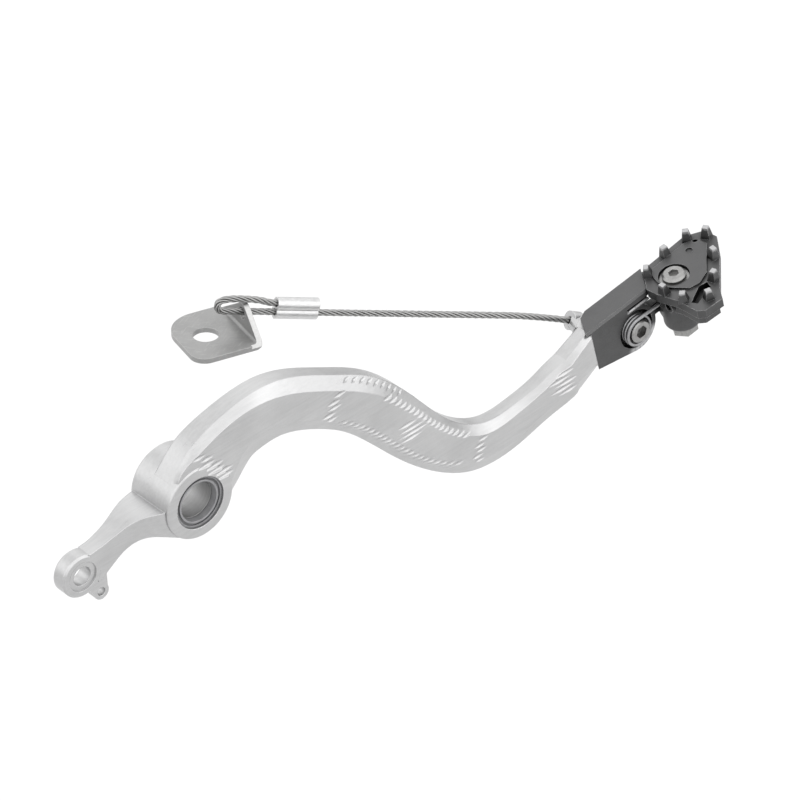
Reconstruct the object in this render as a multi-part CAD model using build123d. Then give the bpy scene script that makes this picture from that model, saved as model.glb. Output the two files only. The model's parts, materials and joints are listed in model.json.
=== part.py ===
from build123d import *
import math
import os

os.makedirs("parts", exist_ok=True)

# Frame: X forward, Y inboard, Z up, millimetres; origin on the pivot axis at the middle of the boss.

# ---- driving sizes ----
BOSS_R = 15.5          # pivot boss radius
BOSS_Y = 11.5          # half length of the boss
BUSH_R = 9.5           # bearing sleeve outer radius
BORE_R = 8.0           # bearing sleeve bore radius
SEAL_R = 11.0          # counterbore radius for the seals
SEAL_DEPTH = 4.0       # counterbore depth
SEAL_T = 3.0           # seal thickness
ARM_FRONT = -11.0      # outboard face of the arm

LUG_X, LUG_Z = -50.3, -14.6    # rear lever eye
LUG_R = 9.0
LUG_HOLE_R = 4.0
LUG_Y0, LUG_Y1 = -4.6, 2.4     # rear lever blade
TAB_X, TAB_Z = -41.2, -26.2    # return spring tab
TAB_R = 3.4
TAB_HOLE_R = 1.8

FOLD_X, FOLD_Z = 226.0, -16.6  # fold bolt axis
TIP_PITCH = 15.0               # nose-up angle of the toe tip
BASE_Y0, BASE_Y1 = -8.0, 4.0   # tip base block
BASE_TOP, BASE_BOT = 14.9, -5.6
BASE_REAR = -22.3
ROOF_BOT = 11.9                # underside of the block's roof
KNUCKLE_R = 10.6               # round front end of the fork
POCKET_R = 8.7                 # recess for the bolt head and the spring
CHEEK_TOP = 9.7                # flat top of the outboard cheek
POCKET_Y = -4.4                # floor of that recess
SLOT_Y0, SLOT_Y1 = -2.4, 1.8   # slot for the folding tongue
BOLT_R = 3.0
FOLD_BUSH_R = 4.0
TONGUE_R = 6.4

TOE_X, TOE_Y = 20.9, -12.0     # toe screw, in the tip frame
PLATE_BOT, PLATE_TOP = 11.2, 15.3
PLATFORM_TOP = 16.2
TOOTH_TOP = 20.2
SLAB_BOT = 5.1
BOSS_BOT = -9.0

CABLE_R = 1.4
EAR_HOLE_R = 2.5
EAR_TOP_R = 4.4
EAR_H = 7.6
SHEET = 2.2
FERRULE_R = 2.75
STRAND_GAP = 3.6       # distance between the two barrels of the ferrule


# ---- helpers ----
def rad(a):
    return math.radians(a)


def xz_prism(points, y0, y1):
    """A side outline of straight edges in X and Z, carried from y0 to y1."""
    face = make_face(Polyline(*[(x, y0, z) for x, z in points], close=True))
    return extrude(face, amount=y1 - y0, dir=(0, 1, 0))


def xy_prism(points, z0, z1):
    """A plan outline of straight edges in X and Y, carried from z0 to z1."""
    face = make_face(Polyline(*[(x, y, z0) for x, y in points], close=True))
    return extrude(face, amount=z1 - z0, dir=(0, 0, 1))


def y_cyl(x, z, r, y0, y1):
    """A cylinder along Y."""
    return Location((x, (y0 + y1) / 2, z)) * (Rotation(90, 0, 0) * Cylinder(r, abs(y1 - y0)))


def z_cyl(x, y, r, z0, z1):
    """A cylinder along Z."""
    return Location((x, y, (z0 + z1) / 2)) * Cylinder(r, abs(z1 - z0))


def hex_z(x, y, af, z0, z1):
    """A hexagonal prism along Z."""
    pts = [(x + af / math.sqrt(3) * math.cos(rad(60 * i)), y + af / math.sqrt(3) * math.sin(rad(60 * i))) for i in range(6)]
    return xy_prism(pts, z0, z1)


def hex_y(x, z, af, y0, y1, turn=0.0):
    """A hexagonal prism along Y."""
    pts = [(x + af / math.sqrt(3) * math.cos(rad(60 * i + turn)), z + af / math.sqrt(3) * math.sin(rad(60 * i + turn))) for i in range(6)]
    return xz_prism(pts, y0, y1)


def unit(v):
    n = math.sqrt(sum(c * c for c in v))
    return tuple(c / n for c in v)


def add(a, b, k=1.0):
    return tuple(p + q * k for p, q in zip(a, b))


def cross(a, b):
    return (a[1] * b[2] - a[2] * b[1], a[2] * b[0] - a[0] * b[2], a[0] * b[1] - a[1] * b[0])


def one(shape):
    """The shape as one solid."""
    s = shape.solids()
    if len(s) != 1:
        print("solids", len(s), [round(v.volume, 1) for v in s])
    return s[0] if len(s) == 1 else shape


def save(shape, name):
    export_step(shape, "parts/" + name + ".step")


TIP = Location(Plane(origin=(FOLD_X, 0, FOLD_Z), x_dir=(math.cos(rad(TIP_PITCH)), 0, math.sin(rad(TIP_PITCH))), z_dir=(-math.sin(rad(TIP_PITCH)), 0, math.cos(rad(TIP_PITCH)))))


def tip_point(x, y, n):
    c, s = math.cos(rad(TIP_PITCH)), math.sin(rad(TIP_PITCH))
    return (FOLD_X + x * c - n * s, y, FOLD_Z + x * s + n * c)


# ---- pedal arm ----
# stations along the arm: X, Z, direction, half height up and down of the outboard flat,
# top bevel (drop, width), bottom bevel (drop, width), outboard face, inboard face
ARM = [
    (1.0, 1.5, 52, 13.9, 11.8, 1.4, 3.0, 3.2, 2.6, ARM_FRONT, 3.5),
    (8.6, 11.6, 49, 13.2, 10.2, 1.8, 3.2, 6.6, 3.0, ARM_FRONT, 3.0),
    (15.8, 19.0, 37, 9.2, 8.4, 2.8, 3.4, 8.2, 3.2, ARM_FRONT, 2.4),
    (24.5, 23.2, 17, 7.4, 7.2, 3.2, 3.5, 8.4, 3.0, ARM_FRONT, 2.0),
    (34.0, 24.3, -1, 6.7, 6.6, 4.5, 3.5, 7.6, 2.6, ARM_FRONT, 1.8),
    (43.0, 23.3, -12, 6.3, 6.2, 5.1, 3.5, 6.2, 2.4, ARM_FRONT, 1.6),
    (53.0, 20.2, -20, 6.2, 6.1, 5.2, 3.5, 4.9, 2.3, ARM_FRONT, 1.5),
    (64.5, 15.5, -25, 6.4, 6.3, 5.1, 3.5, 4.2, 2.3, ARM_FRONT, 1.5),
    (76.5, 9.4, -30, 6.9, 6.8, 5.6, 3.5, 3.8, 2.3, ARM_FRONT, 1.4),
    (86.5, 2.8, -37, 7.3, 7.2, 5.5, 3.4, 4.2, 2.3, ARM_FRONT, 1.2),
    (95.4, -4.9, -43, 7.5, 7.5, 5.1, 3.4, 4.2, 2.3, ARM_FRONT, 1.0),
    (104.4, -13.4, -43, 7.5, 7.5, 4.4, 3.3, 4.2, 2.3, ARM_FRONT, 0.8),
    (116.0, -23.8, -38, 7.1, 7.1, 3.8, 3.2, 4.0, 2.3, ARM_FRONT, 0.5),
    (129.0, -32.0, -26, 6.4, 6.4, 3.5, 3.0, 4.6, 2.2, ARM_FRONT, 0.0),
    (141.6, -36.2, -9, 5.8, 5.8, 3.6, 2.9, 5.2, 2.1, ARM_FRONT, -0.5),
    (153.5, -35.3, 12, 5.5, 5.5, 3.0, 2.8, 5.6, 2.0, ARM_FRONT, -0.9),
    (164.5, -31.8, 20, 5.3, 5.3, 2.2, 2.8, 5.7, 1.9, ARM_FRONT, -1.0),
    (177.0, -27.1, 21, 5.2, 5.2, 1.6, 2.8, 5.9, 1.9, ARM_FRONT, -0.8),
    (190.0, -22.0, 21, 5.4, 5.4, 1.4, 2.8, 5.5, 1.9, ARM_FRONT, 0.0),
]


def section(s):
    x, z, a, hu, hd, td, tw, bd, bw, yf, yb = s
    nx, nz = -math.sin(rad(a)), math.cos(rad(a))
    fb = 1.8
    pts = [
        (yf, hu), (yf + tw, hu + td), (yb - fb, hu + td), (yb, hu + td - fb),
        (yb, -hd - bd + fb), (yb - fb, -hd - bd), (yf + bw, -hd - bd), (yf, -hd),
    ]
    return make_face(Polyline(*[(x + nx * n, y, z + nz * n) for y, n in pts], close=True))


neck_end = tip_point(BASE_REAR, 0, (BASE_TOP + BASE_BOT) / 2)
NECK = (neck_end[0], neck_end[2], TIP_PITCH, 7.2, 7.2, 2.2, 2.0, 2.6, 1.6, BASE_Y0, 1.0)
arm = loft([section(s) for s in ARM])
neck = loft([section(ARM[-1]), section(NECK)], ruled=True)

boss = y_cyl(0, 0, BOSS_R, -BOSS_Y, BOSS_Y)
boss = chamfer(boss.edges().filter_by(GeomType.CIRCLE).sort_by(Axis.Y)[-1], 0.8)
boss = fillet(boss.edges().filter_by(GeomType.CIRCLE).sort_by(Axis.Y)[0], 1.0)

# rear lever: side outline met by a plan outline that flares from blade to boss
top_edge = Spline((-8.0, 0, 1.8), (-15.0, 0, 1.2), (-19.0, 0, 0.9), (-24.5, 0, 0.2), (-32.0, 0, -2.2), (-40.0, 0, -4.7), (-47.0, 0, -6.3))
bottom_edge = Spline((-43.2, 0, -20.2), (-37.6, 0, -16.4), (-31.5, 0, -11.8), (-22.0, 0, -8.6), (-14.0, 0, -10.2), (-6.0, 0, -13.8))
lever_face = make_face([
    top_edge,
    Line((-47.0, 0, -6.3), (-43.2, 0, -20.2)),
    bottom_edge,
    Line((-6.0, 0, -13.8), (-8.0, 0, 1.8)),
])
lever_side = extrude(lever_face, amount=20, dir=(0, 1, 0), both=True)
plan_face = make_face([
    Spline((-4.0, -10.9, 0), (-10.0, -10.8, 0), (-15.5, -9.7, 0), (-21.5, -7.1, 0), (-28.0, -5.1, 0), (-36.0, -4.5, 0), (-44.0, LUG_Y0, 0)),
    Line((-44.0, LUG_Y0, 0), (-52.0, LUG_Y0, 0)),
    Line((-52.0, LUG_Y0, 0), (-52.0, LUG_Y1, 0)),
    Line((-52.0, LUG_Y1, 0), (-44.0, LUG_Y1, 0)),
    Spline((-44.0, LUG_Y1, 0), (-38.0, 3.3, 0), (-32.0, 4.9, 0), (-23.0, 8.2, 0), (-14.0, 10.2, 0), (-4.0, 10.2, 0)),
    Line((-4.0, 10.2, 0), (-4.0, -10.9, 0)),
])
lever_plan = extrude(plan_face, amount=40, dir=(0, 0, 1), both=True)
lever = lever_side & lever_plan
eye = y_cyl(LUG_X, LUG_Z, LUG_R, LUG_Y0, LUG_Y1)
eye = chamfer(eye.edges().filter_by(GeomType.CIRCLE), 0.8)
tab = y_cyl(TAB_X, TAB_Z, TAB_R, LUG_Y0 + 1.5, LUG_Y0 + 5.5)
web = xz_prism([(LUG_X + 3.0, LUG_Z - 7.5), (TAB_X - 1.8, TAB_Z - 2.6), (TAB_X + 3.0, TAB_Z + 1.4), (-38.5, -17.5), (-45.0, -15.0)], LUG_Y0 + 1.5, LUG_Y0 + 5.5)

# front: tang inside the tip base, a wedge behind its oblique rear face and an inboard ear for the cable
OBLIQUE = 7.5                  # how far the tip base's rear face slants back from inboard to outboard
TANG = (-15.35, -1.9, 4.7)
tang = TIP * (Location(TANG) * Box(14.3, 4.8, 12.0))
wedge = TIP * xy_prism([(BASE_REAR, BASE_Y0), (BASE_REAR + OBLIQUE, BASE_Y1), (BASE_REAR + 5.5, BASE_Y1), (BASE_REAR, 1.0)], BASE_BOT + 2.0, BASE_TOP - 1.6)
EAR_AT = tip_point(-17.6, 8.4, 8.6)
CABLE_OUT = unit((-1.0, 0.20, 0.44))     # the cable as it leaves the arm
CABLE_RUN = unit((-1.0, 0.36, 0.25))     # the cable's long straight run


def along(p, d, r, s0, s1):
    """A cylinder on the line through p with direction d, from s0 to s1."""
    return Location(Plane(origin=add(p, d, (s0 + s1) / 2), z_dir=d)) * Cylinder(r, abs(s1 - s0))


ear_ring = along(EAR_AT, CABLE_OUT, 4.0, -2.3, 2.3)
foot_a, foot_b = tip_point(-19.9, 2.0, 8.6), tip_point(-17.8, 7.6, 8.6)
foot_d = unit(add(foot_b, foot_a, -1.0))
foot_l = math.sqrt(sum(c * c for c in add(foot_b, foot_a, -1.0)))
ear_foot = along(foot_a, foot_d, 3.2, 0, foot_l)

pedal = arm + neck + boss + lever + eye + tab + web + tang + wedge + ear_foot + ear_ring

pedal = pedal - y_cyl(0, 0, BUSH_R, -BOSS_Y - 1, BOSS_Y + 1)
pedal = pedal - y_cyl(0, 0, SEAL_R, -BOSS_Y - 1, -BOSS_Y + SEAL_DEPTH)
pedal = pedal - y_cyl(0, 0, SEAL_R, BOSS_Y - SEAL_DEPTH, BOSS_Y + 1)
pedal = pedal - y_cyl(LUG_X, LUG_Z, LUG_HOLE_R, LUG_Y0 - 1, LUG_Y1 + 1)
pedal = pedal - y_cyl(LUG_X, LUG_Z, LUG_HOLE_R + 2.2, LUG_Y0 - 1, LUG_Y0 + 0.6)
pedal = pedal - y_cyl(TAB_X, TAB_Z, TAB_HOLE_R, LUG_Y0 - 2, LUG_Y0 + 8)
pedal = pedal - along(EAR_AT, CABLE_OUT, CABLE_R + 0.2, -9, 9)
pedal = pedal - along(EAR_AT, CABLE_OUT, 2.7, -9, -2.3)      # seat for the cable's stop

# ---- tool marks: shallow round grooves that run nearly along X, in bands across the arm and along its bevels ----
GROOVE_R = 1.2
GROOVE_D = 0.5
GROOVE_TILT = 7.0              # above X
GROOVE_PITCH = 2.3
MARK_DIR = (math.cos(rad(GROOVE_TILT)), 0.0, math.sin(rad(GROOVE_TILT)))


def spindle(p, d, half, depth):
    """Two cones, base to base on the line through p: cut in to a depth, they leave a groove that runs out at both ends."""
    thin = GROOVE_R - 1.3 * depth
    return [Location(Plane(origin=add(p, d, k * 0.65 * half), z_dir=tuple(k * c for c in d))) * Cone(GROOVE_R, thin, 1.3 * half) for k in (-1, 1)]


# band middle X and Z, direction of the arm there, half width up and down the flat, groove length
BANDS = [(7.6, 13.6, 47, 10.6, 9.6, 8.0), (65.0, 14.5, -26, 5.5, 7.0, 8.6), (139.7, -36.5, -12, 5.6, 5.8, 7.0), (184.0, -23.6, 21, 4.9, 4.9, 16.0)]
# longer strokes at the middle of the arm: X, Z, length
STROKES = [(102.0, -8.6, 12.0), (104.5, -10.8, 16.5), (105.1, -13.0, 19.6), (104.2, -15.3, 14.0)]
marks = []
for bx, bz, ba, up, down, length in BANDS:
    nx, nz = -math.sin(rad(ba)), math.cos(rad(ba))
    step = GROOVE_PITCH / abs(math.sin(rad(ba + 90 - GROOVE_TILT)))
    k = -int(down / step)
    while k * step <= up:
        shift = length * 0.10 * (-1) ** k
        mid = (bx + nx * k * step, ARM_FRONT - GROOVE_R + GROOVE_D, bz + nz * k * step)
        marks += spindle(add(mid, MARK_DIR, shift), MARK_DIR, length / 2, GROOVE_D)
        k += 1
for sx, sz, length in STROKES:
    marks += spindle((sx, ARM_FRONT - GROOVE_R + GROOVE_D, sz), MARK_DIR, length / 2, GROOVE_D)


def station(t):
    """The arm's section values at a place between stations, on a smooth curve through them."""
    i = min(int(t), len(ARM) - 2)
    f = t - i
    p0, p1, p2, p3 = (ARM[max(0, min(len(ARM) - 1, i + d))] for d in (-1, 0, 1, 2))
    return [0.5 * (2 * b + (c - a) * f + (2 * a - 5 * b + 4 * c - d) * f * f + (3 * b - a - 3 * c + d) * f ** 3) for a, b, c, d in zip(p0, p1, p2, p3)]


# along the edges of the flat the grooves cross the corner, so they run out on the flat and on the bevel
EDGE_D = 0.6
t = 7.0
while t < 13.1:
    x, z, a, hu, hd, td, tw, bd, bw, yf, yb = station(t)
    nx, nz = -math.sin(rad(a)), math.cos(rad(a))
    across = MARK_DIR[0] * nx + MARK_DIR[2] * nz
    for side, h0, drop, width, first in ((1, hu, td, tw, 9.1), (-1, -hd, bd, bw, 7.5)):
        if t < first:
            continue
        size = math.hypot(drop, width)
        out_y, out_n = -1 - drop / size, side * width / size
        out = math.hypot(out_y, out_n)
        y = yf + out_y / out * (GROOVE_R - EDGE_D)
        n = h0 + out_n / out * (GROOVE_R - EDGE_D)
        way = unit(add(MARK_DIR, (0, 1, 0), 0.5 * side * width / drop * across))
        marks.append(along((x + nx * n, y, z + nz * n), way, GROOVE_R, -5, 5))
    if 7.1 < t < 9.7:
        share = 0.68
        size = math.hypot(td, tw)
        y = yf + tw * share - td / size * (GROOVE_R - 0.4)
        n = hu + td * share + tw / size * (GROOVE_R - 0.4)
        marks += spindle((x + nx * n, y, z + nz * n), unit(add(MARK_DIR, (0, 1, 0), tw / td * across)), 2.4, 0.4)
    p, q = station(t - 0.05), station(t + 0.05)
    t += GROOVE_PITCH / max(0.5, abs(across)) / (10 * math.hypot(q[0] - p[0], q[1] - p[1]))
print("marks", len(marks))
pedal = pedal - marks

# ---- pivot bearing and seals ----
pivot_bush = y_cyl(0, 0, BUSH_R, -BOSS_Y + SEAL_DEPTH, BOSS_Y - SEAL_DEPTH) - y_cyl(0, 0, BORE_R, -BOSS_Y, BOSS_Y)


def seal(side):
    """A lip seal lying against the counterbore floor, its lip groove facing out."""
    inner, outer = side * (BOSS_Y - SEAL_DEPTH), side * (BOSS_Y - SEAL_DEPTH + SEAL_T)
    ring = y_cyl(0, 0, SEAL_R, inner, outer) - y_cyl(0, 0, BORE_R + 0.35, inner - side, outer + side)
    groove = y_cyl(0, 0, SEAL_R - 0.9, outer - side * 0.9, outer + side) - y_cyl(0, 0, SEAL_R - 1.9, outer - side * 2, outer + side * 2)
    return ring - groove


outer_seal = seal(-1)
inner_seal = seal(1)

# ---- tip base: a roofed fork for the folding tongue at the front, a socket for the arm's tang at the rear ----
OUTER = 9.2                    # where the roof ends at its outboard edge
INNER = 16.8                   # where the roof ends at its inboard edge
reach = math.hypot(BASE_REAR, BASE_BOT)
touch = math.atan2(BASE_BOT, BASE_REAR) + math.acos(KNUCKLE_R / reach)
under = (KNUCKLE_R * math.cos(touch), KNUCKLE_R * math.sin(touch))      # where the sole meets the round front end
block_side = xz_prism([(BASE_REAR, BASE_BOT), (BASE_REAR, BASE_TOP), (INNER, BASE_TOP), (INNER, ROOF_BOT), (12.6, ROOF_BOT), (10.46, -1.71), (0, 0), under], BASE_Y0, BASE_Y1)
base = block_side + y_cyl(0, 0, KNUCKLE_R, BASE_Y0, BASE_Y1)
# the roof's front end slants, and the outboard cheek is parted from the roof by a gap
SLANT = (INNER - OUTER) / (BASE_Y1 - BASE_Y0)
base = base - xy_prism([(OUTER - SLANT, BASE_Y0 - 1), (30, BASE_Y0 - 1), (30, BASE_Y1 + 1), (INNER + SLANT, BASE_Y1 + 1)], ROOF_BOT, BASE_TOP + 1)
gap_cut = xz_prism([(0, 0), (0, ROOF_BOT), (30, ROOF_BOT), (30, -30), (0, -30)], BASE_Y0 - 1, SLOT_Y1) - y_cyl(0, 0, KNUCKLE_R, BASE_Y0 - 2, SLOT_Y1 + 1)
gap_cut = gap_cut + xz_prism([(-1.6, CHEEK_TOP), (-2.6, ROOF_BOT), (20, ROOF_BOT), (20, CHEEK_TOP)], BASE_Y0 - 1, SLOT_Y1)
base = base - gap_cut
# a thin lip along the cheek's top, and the inboard cheek carried forward beside the tongue
base = base + xz_prism([(-1.8, CHEEK_TOP - 1.0), (-2.0, CHEEK_TOP + 0.8), (9.0, CHEEK_TOP + 0.8), (9.4, CHEEK_TOP + 0.4), (9.4, CHEEK_TOP - 0.2), (3.0, CHEEK_TOP - 1.0)], BASE_Y0, SLOT_Y0 - 0.6)
base = base + xz_prism([(6.0, ROOF_BOT + 0.5), (INNER - 0.5, ROOF_BOT + 0.5), (20.6, 10.2), (20.6, 4.2), (10.3, -2.0), (6.0, 0)], SLOT_Y1, BASE_Y1)
# the rear face slants from outboard to inboard
base = base - xy_prism([(BASE_REAR - 1, BASE_Y0 - 1.6), (BASE_REAR, BASE_Y0), (BASE_REAR + OBLIQUE, BASE_Y1), (BASE_REAR + OBLIQUE + 1.0, BASE_Y1 + 1.6), (BASE_REAR - 1, BASE_Y1 + 1.6)], -30, BASE_TOP + 1)
# the roof reaches back over the end of the neck
overhang = xy_prism([(-24.6, BASE_Y0), (-19.2, 1.4), (-13.4, BASE_Y1), (-9.0, BASE_Y1), (-9.0, BASE_Y0)], BASE_TOP - 1.6, BASE_TOP)
base = base + overhang
pedal = pedal - TIP * overhang
base = base - Location((TANG[0] - 1.0, TANG[1], TANG[2])) * Box(16.3, 4.8, 12.0)
# room for the tongue's hub between the cheeks
base = base - (y_cyl(0, 0, TONGUE_R + 0.3, SLOT_Y0, SLOT_Y1) + xz_prism([(0, -TONGUE_R - 0.3), (30, -TONGUE_R - 0.3), (30, ROOF_BOT), (-4.0, ROOF_BOT), (-TONGUE_R - 0.3, 5.0), (-TONGUE_R - 0.3, 0)], SLOT_Y0, SLOT_Y1))
base = base - y_cyl(0, 0, POCKET_R, BASE_Y0 - 1, POCKET_Y)
base = base - y_cyl(0, 0, BOLT_R + 0.1, BASE_Y0 - 1, BASE_Y1 + 1)
WIRE_R = 0.75
COIL_R = 6.3
COIL_Y0, COIL_Y1 = -10.2, -5.4      # wire centre at the outboard and the inboard end of the coil
base = base - Location((-8.5, COIL_Y1 + 0.1, COIL_R)) * (Rotation(0, 90, 0) * Cylinder(1.0, 9.0))
SCREWS = [(-11.4, 8.0), (-11.4, 0.9)]
for sx, sz in SCREWS:
    base = base - y_cyl(sx, sz, 2.0, -6.6, BASE_Y1 + 1)
    base = base - y_cyl(sx, sz, 3.6, BASE_Y1 - 2.0, BASE_Y1 + 3)
    pedal = pedal - TIP * y_cyl(sx, sz, 2.0, -6.0, BASE_Y1)
lip_edge = base.edges().filter_by(Axis.X).filter_by(lambda e: abs(e.center().Z - CHEEK_TOP - 0.8) < 0.01 and e.center().Y < BASE_Y0 + 0.01)
base = chamfer(lip_edge, 0.35)
top_edges = base.edges().filter_by(Axis.X).filter_by(lambda e: e.center().Z > BASE_TOP - 0.01 and (e.center().Y < BASE_Y0 + 0.01 or e.center().Y > BASE_Y1 - 0.01))
base = chamfer(top_edges, 0.8)
tip_base = TIP * base

screw_list = []
for sx, sz in SCREWS:
    body = y_cyl(sx, sz, 2.0, -6.3, BASE_Y1 - 1.5) + y_cyl(sx, sz, 3.5, BASE_Y1 - 2.0, BASE_Y1 - 0.2)
    body = body - hex_y(sx, sz, 2.5, BASE_Y1 - 1.4, BASE_Y1 + 1)
    screw_list.append((TIP * body).solids()[0])
tip_base_screws = Compound(children=screw_list)

# ---- fold bolt, its bush, nut and torsion spring ----
bolt_head = y_cyl(0, 0, 5.0, POCKET_Y - 6.8, POCKET_Y)
bolt_head = chamfer(bolt_head.edges().filter_by(GeomType.CIRCLE).sort_by(Axis.Y)[0], 0.6)
for k in range(24):
    a = rad(15 * k)
    bolt_head = bolt_head - y_cyl(5.2 * math.cos(a), 5.2 * math.sin(a), 0.45, POCKET_Y - 6.2, POCKET_Y - 0.6)
fold_bolt = bolt_head + y_cyl(0, 0, BOLT_R, POCKET_Y - 0.5, BASE_Y1 + 6.4)
fold_bolt = TIP * (fold_bolt - hex_y(0, 0, 5.0, POCKET_Y - 8, POCKET_Y - 3.8))
fold_bush = TIP * (y_cyl(0, 0, FOLD_BUSH_R, SLOT_Y0, SLOT_Y1) - y_cyl(0, 0, BOLT_R, SLOT_Y0 - 1, SLOT_Y1 + 1))
fold_nut = TIP * (hex_y(0, 0, 10.0, BASE_Y1, BASE_Y1 + 5.0, 30) - y_cyl(0, 0, BOLT_R, BASE_Y1 - 1, BASE_Y1 + 8))

coil = Location((0, COIL_Y0, 0)) * Rotation(0, -90, 0) * Rotation(-90, 0, 0) * Helix(pitch=(COIL_Y1 - COIL_Y0) / 3, height=COIL_Y1 - COIL_Y0, radius=COIL_R, lefthand=True)
ce = coil.edges()[0]
p_out, t_out, p_in, t_in = ce @ 0, ce % 0, ce @ 1, ce % 1
LEG = 16.0                     # working leg, from the coil into the carrier
leg_tip = p_out - t_out * LEG
leg_end = p_in + t_in * 8.0
spring_path = Wire([Line(leg_tip, p_out).edges()[0], ce, Line(p_in, leg_end).edges()[0]])
spring = sweep(Plane(origin=leg_tip, z_dir=t_out) * Circle(WIRE_R), path=spring_path)
fold_spring = TIP * spring

# ---- folding carrier ----
PAD = [(-11.8, -1.5), (-9.4, -11.5), (-9.0, -22.5), (-6.5, -25.0), (2.5, -25.5), (6.0, -20.3), (21.8, -4.0), (27.4, 3.2), (26.8, 10.2), (19.4, 14.4), (-4.5, 13.4), (-8.4, 9.5), (-12.2, 4.0)]
PLATFORM = [(-7.0, 2.5), (-6.6, -3.6), (-4.2, -7.2), (-1.6, -11.0), (3.0, -12.0), (9.1, -9.7), (21.5, 2.9), (20.6, 8.2), (16.5, 10.6), (-2.5, 10.0), (-5.6, 7.0)]
PAD_MID = (5.5, -3.0)


def pad(k):
    """The toe plate's outline, drawn in towards its middle by the factor k, in the tip frame."""
    return [(TOE_X + PAD_MID[0] + (x - PAD_MID[0]) * k, TOE_Y + PAD_MID[1] + (y - PAD_MID[1]) * k) for x, y in PAD]


TONGUE_Y0, TONGUE_Y1 = SLOT_Y0 + 0.3, SLOT_Y1 - 0.3
tongue = y_cyl(0, 0, TONGUE_R, TONGUE_Y0, TONGUE_Y1) + xz_prism([(0, -TONGUE_R), (23.0, -TONGUE_R), (23.0, SLAB_BOT + 0.5), (18.6, SLAB_BOT + 0.5), (16.4, -0.5), (6.38, -0.5), (0, TONGUE_R)], TONGUE_Y0, TONGUE_Y1)
slab = xy_prism(pad(0.84), SLAB_BOT, PLATE_BOT)
carrier_web = xy_prism([(15.2, TOE_Y - 0.5), (15.2, -7.0), (18.6, TONGUE_Y1), (24.0, TONGUE_Y1), (24.0, TOE_Y - 0.5)], -TONGUE_R, SLAB_BOT + 0.5)
carrier_boss = z_cyl(TOE_X, TOE_Y, 7.8, BOSS_BOT, PLATE_BOT)
carrier_boss = fillet(carrier_boss.edges().filter_by(GeomType.CIRCLE).sort_by(Axis.Z)[0], 2.2)
carrier = tongue + slab + carrier_web + carrier_boss
carrier = carrier - y_cyl(0, 0, FOLD_BUSH_R + 0.05, TONGUE_Y0 - 1, TONGUE_Y1 + 1)
carrier = carrier - z_cyl(TOE_X, TOE_Y, BOLT_R + 0.15, BOSS_BOT - 1, PLATE_BOT + 1)
# the carrier and the plate swing clear of the roof's slanted front end
SWING = Location((0, -2.0, 0)) * (Rotation(-90, 0, 0) * Cone(17.5, 22.96, 13.2))
swept = (SWING & xz_prism([(0, 0), (40, -2.4), (40, 40), (0, 40)], -20, 20)) - y_cyl(0, 0, 11.2, -30, 30)
carrier = carrier - swept
# a drilled boss on the carrier's rear edge
carrier = carrier + Location((12.6, -17.0, 8.3)) * (Rotation(0, 90, 0) * Cylinder(2.6, 3.0))
carrier = carrier - Location((12.0, -17.0, 8.3)) * (Rotation(0, 90, 0) * Cylinder(1.5, 4.4))
# hole for the spring's working leg
carrier = carrier - Location((leg_tip.X - 3.4, leg_tip.Y + 0.1, leg_tip.Z)) * (Rotation(0, 90, 0) * Cylinder(1.05, 9.5))
tip_carrier = TIP * carrier

# ---- toe plate with teeth round its edge ----
plate = xy_prism(pad(1.0), PLATE_BOT, PLATE_TOP) + xy_prism([(TOE_X + x, TOE_Y + y) for x, y in PLATFORM], PLATE_TOP, PLATFORM_TOP)
TEETH = [(-5.8, 9.0), (6.6, 11.8), (18.6, 11.8), (24.8, 6.6), (17.7, -4.7), (8.4, -14.2), (-0.7, -20.9), (-7.6, -13.6), (-9.2, -4.0)]
for k, (tx, ty) in enumerate(TEETH):
    turn = math.degrees(math.atan2(ty - PAD_MID[1], tx - PAD_MID[0]))
    low = Plane(origin=(TOE_X + tx, TOE_Y + ty, PLATE_TOP - 0.4), x_dir=(math.cos(rad(turn)), math.sin(rad(turn)), 0), z_dir=(0, 0, 1)) * Rectangle(3.8, 4.2)
    high = Plane(origin=(TOE_X + tx + 0.5 * math.cos(rad(turn)), TOE_Y + ty + 0.5 * math.sin(rad(turn)), TOOTH_TOP), x_dir=(math.cos(rad(turn)), math.sin(rad(turn)), 0), z_dir=(0, 0, 1)) * Rectangle(2.0, 2.4)
    plate = plate + loft([low, high])
HEAD_SEAT = 13.7
plate = plate - z_cyl(TOE_X, TOE_Y, 6.5, HEAD_SEAT, PLATFORM_TOP + 6)
plate = plate - z_cyl(TOE_X, TOE_Y, BOLT_R + 0.15, PLATE_BOT - 1, PLATFORM_TOP + 1)
plate = plate - z_cyl(TOE_X + 19.9, TOE_Y + 8.3, 1.3, PLATE_BOT - 1, PLATFORM_TOP + 1)
plate = plate - z_cyl(TOE_X + 14.1, TOE_Y + 5.7, 1.5, PLATFORM_TOP - 0.6, PLATFORM_TOP + 1)
POCKET = [(5.6, -13.2), (4.6, -16.6), (-5.6, -19.6), (-6.8, -17.0), (-1.5, -14.2), (2.0, -12.4)]
plate = plate - xy_prism([(TOE_X + x, TOE_Y + y) for x, y in POCKET], PLATE_TOP - 3.0, PLATFORM_TOP + 1)
plate = plate - SWING
toe_plate = TIP * plate

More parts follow.
